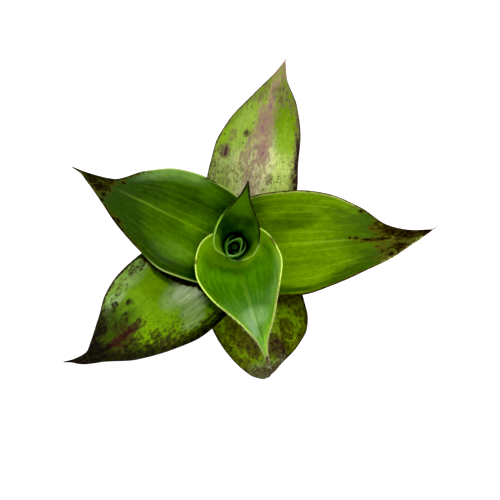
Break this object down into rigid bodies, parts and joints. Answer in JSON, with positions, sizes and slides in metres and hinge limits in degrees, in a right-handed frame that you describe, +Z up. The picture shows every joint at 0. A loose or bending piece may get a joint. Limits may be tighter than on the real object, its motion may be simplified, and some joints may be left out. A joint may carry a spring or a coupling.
{
  "type": "potted basket plant",
  "caption": "Young basket plant with broad pointed leaves in a spiral rosette round a short stem, standing in soil in a plain round clay pot that rests on a flat base.",
  "frame": {"origin": "centre of the pot's flat base, on the stem's axis", "axes": "+Z up along the stem, +X to the right leaf's side and +Y to the top leaf's side in a view from straight above"},
  "size_m": [0.1698, 0.1488, 0.1552],
  "materials": {
    "clay": "unglazed, matte",
    "soil": "loose peat, matte",
    "stem": "smooth, satin",
    "leaf_mottled": "waxy, satin",
    "leaf_pale": "waxy, satin",
    "leaf_olive": "waxy, satin",
    "leaf_green": "waxy, satin",
    "leaf_young": "waxy, satin"
  },
  "bodies": {
    "root": {"pot": "clay", "soil": "soil", "stem": "stem", "leaf_1_bottom": "leaf_mottled", "leaf_2_top": "leaf_pale", "leaf_3_lower_left": "leaf_olive", "leaf_4_right": "leaf_green", "leaf_5_left": "leaf_green", "leaf_6_front": "leaf_young", "leaf_7_upright": "leaf_young", "leaf_8_heart": "leaf_young", "leaf_9_heart": "leaf_young", "leaf_10_bud": "leaf_young"}
  },
  "joints": []
}
